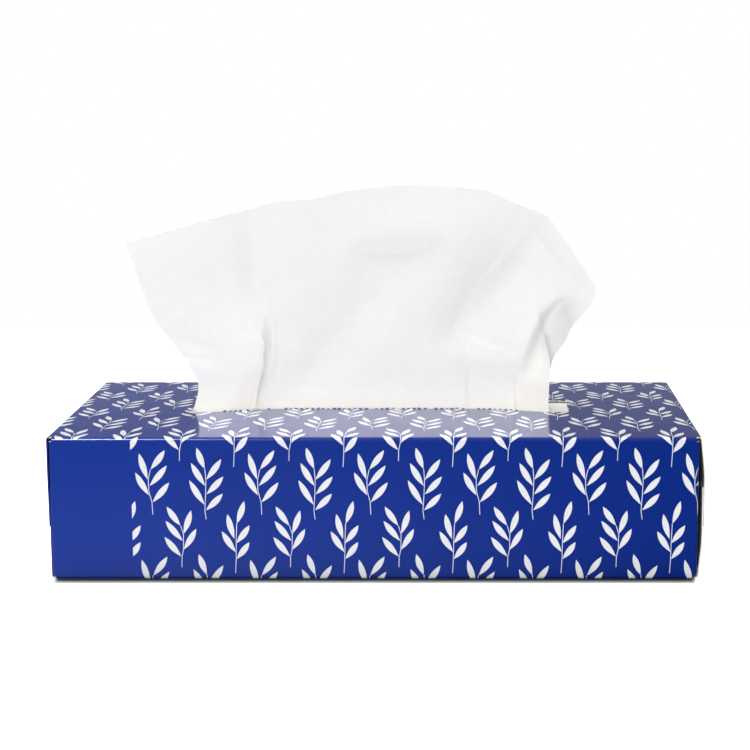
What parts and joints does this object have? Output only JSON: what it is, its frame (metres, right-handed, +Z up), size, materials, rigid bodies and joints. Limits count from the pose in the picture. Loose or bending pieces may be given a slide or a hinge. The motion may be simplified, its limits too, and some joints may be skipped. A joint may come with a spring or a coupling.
{
  "type": "tissue box",
  "caption": "Flat paperboard carton of interfolded facial tissues, with a slot in its top panel and one sheet standing up out of it.",
  "frame": {"origin": "middle of the carton's underside", "axes": "+X along the carton, to the right as seen from its front; +Y from the front panel to the back panel; +Z up"},
  "size_m": [0.2339, 0.118, 0.1358],
  "materials": {
    "printed_board": "coated paperboard printed deep blue with white leaf sprigs, glossy",
    "tissue_paper": "soft two-ply creped tissue, matt white"
  },
  "bodies": {
    "root": {"carton": "printed_board", "tissue_stack": "tissue_paper", "pop_up_tissue": "tissue_paper"}
  },
  "joints": []
}
